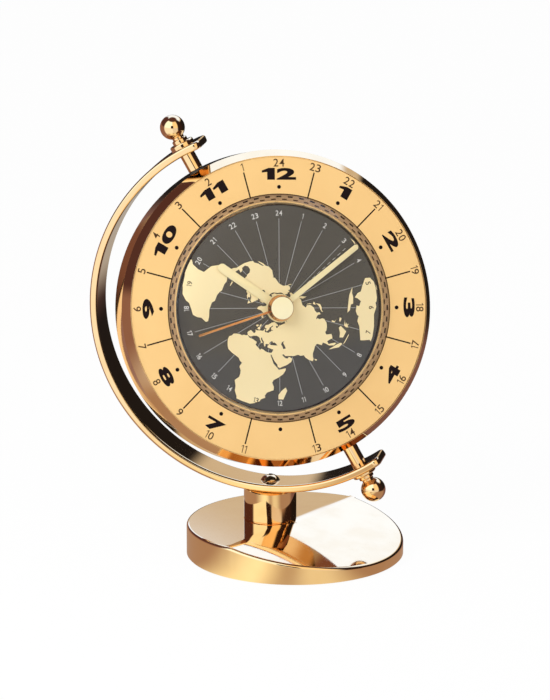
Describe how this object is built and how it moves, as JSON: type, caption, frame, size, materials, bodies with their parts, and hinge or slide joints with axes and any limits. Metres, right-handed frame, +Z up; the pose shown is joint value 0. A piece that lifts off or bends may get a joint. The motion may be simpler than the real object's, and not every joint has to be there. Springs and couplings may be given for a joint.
{
  "type": "world time desk clock",
  "caption": "Desk clock with a round drum on a leaning axis in a C-shaped arm, a 24-hour world map disc driven backwards from the hour hand, on a short post and round slanted base",
  "frame": {"origin": "middle of the felt pad's underside, on the table", "axes": "+Z up, the arm's strip bends in an XZ plane, -Y is the front that the picture shows"},
  "size_m": [0.1117, 0.0728, 0.1475],
  "materials": {
    "gold_metal": "polished gold plate",
    "dial_gold": "fine satin gold",
    "crystal_clear": "clear, polished",
    "world_disc_grey": "charcoal, satin",
    "hand_gold": "polished gold plate",
    "second_hand_copper": "copper-toned lacquer",
    "steel": "nickel plated",
    "plain_brass": "turned",
    "plate_aluminium": "mill finish",
    "gear_plastic": "moulded",
    "bush_plastic": "moulded",
    "black_plastic": "fine moulded grain",
    "cell_sleeve": "printed sleeve left plain",
    "felt": "felt"
  },
  "bodies": {
    "stand": {"base": "gold_metal", "base_pad": "felt", "base_screw": "steel", "post": "gold_metal", "arm": "gold_metal", "arm_screw": "gold_metal", "upper_knob": "gold_metal", "lower_knob": "gold_metal", "upper_collar": "gold_metal", "lower_collar": "gold_metal", "upper_pivot_pin": "gold_metal", "lower_pivot_pin": "gold_metal", "upper_friction_washer": "bush_plastic", "lower_friction_washer": "bush_plastic"},
    "drum": {"case_ring": "gold_metal", "dial_ring": "dial_gold", "crystal": "crystal_clear", "dial_plate": "plate_aluminium", "plate_screws": "steel", "idler_stud": "plain_brass", "centre_nut": "plain_brass", "movement_case": "black_plastic", "battery": "cell_sleeve", "battery_contact_positive": "steel", "battery_contact_negative": "steel", "back_cover": "black_plastic", "case_screws": "steel", "upper_bush": "bush_plastic", "lower_bush": "bush_plastic"},
    "hour_work": {"hour_hand": "hand_gold", "hour_pipe": "plain_brass", "hour_pinion": "gear_plastic"},
    "minute_work": {"minute_hand": "hand_gold", "minute_arbor": "plain_brass"},
    "second_work": {"second_hand": "second_hand_copper", "second_arbor": "steel", "hub_cap": "hand_gold"},
    "idler": {"idler_gear": "gear_plastic"},
    "world_turntable": {"world_disc": "world_disc_grey", "disc_ring_gear": "gear_plastic", "disc_bush": "gear_plastic"},
    "setting_knob": {"set_knob": "black_plastic"},
    "door": {"battery_door": "black_plastic"}
  },
  "joints": [
    {"name": "drum_turn", "type": "hinge", "parent": "stand", "child": "drum", "pos_m": [-0.0084, 0.0042, 0.0835], "axis": [-0.4909, 0, 0.8712], "continuous": true},
    {"name": "minute_turn", "type": "hinge", "parent": "drum", "child": "minute_work", "pos_m": [-0.0084, 0.0042, 0.0835], "axis": [-0.4104, 0.8821, -0.2312], "continuous": true},
    {"name": "hour_turn", "type": "hinge", "parent": "drum", "child": "hour_work", "pos_m": [-0.0084, 0.0042, 0.0835], "axis": [-0.4104, 0.8821, -0.2312], "continuous": true},
    {"name": "disc_turn", "type": "hinge", "parent": "drum", "child": "world_turntable", "pos_m": [-0.0084, 0.0042, 0.0835], "axis": [-0.4104, 0.8821, -0.2312], "continuous": true},
    {"name": "idler_turn", "type": "hinge", "parent": "drum", "child": "idler", "pos_m": [-0.00916, 0.00767, 0.09807], "axis": [-0.4104, 0.8821, -0.2312], "continuous": true},
    {"name": "second_turn", "type": "hinge", "parent": "drum", "child": "second_work", "pos_m": [-0.0084, 0.0042, 0.0835], "axis": [-0.4104, 0.8821, -0.2312], "continuous": true},
    {"name": "knob_turn", "type": "hinge", "parent": "drum", "child": "setting_knob", "pos_m": [-0.00906, 0.00721, 0.09613], "axis": [-0.4104, 0.8821, -0.2312], "continuous": true},
    {"name": "door_slide", "type": "slide", "parent": "drum", "child": "door", "axis": [0.0504, -0.2312, -0.9716], "range_m": [0, 0.018]}
  ],
  "couplings": [
    {"joint": "hour_turn", "follows": "minute_turn", "ratio": 0.083333},
    {"joint": "disc_turn", "follows": "minute_turn", "ratio": -0.041667},
    {"joint": "idler_turn", "follows": "minute_turn", "ratio": -0.16667},
    {"joint": "knob_turn", "follows": "minute_turn", "ratio": 1}
  ]
}
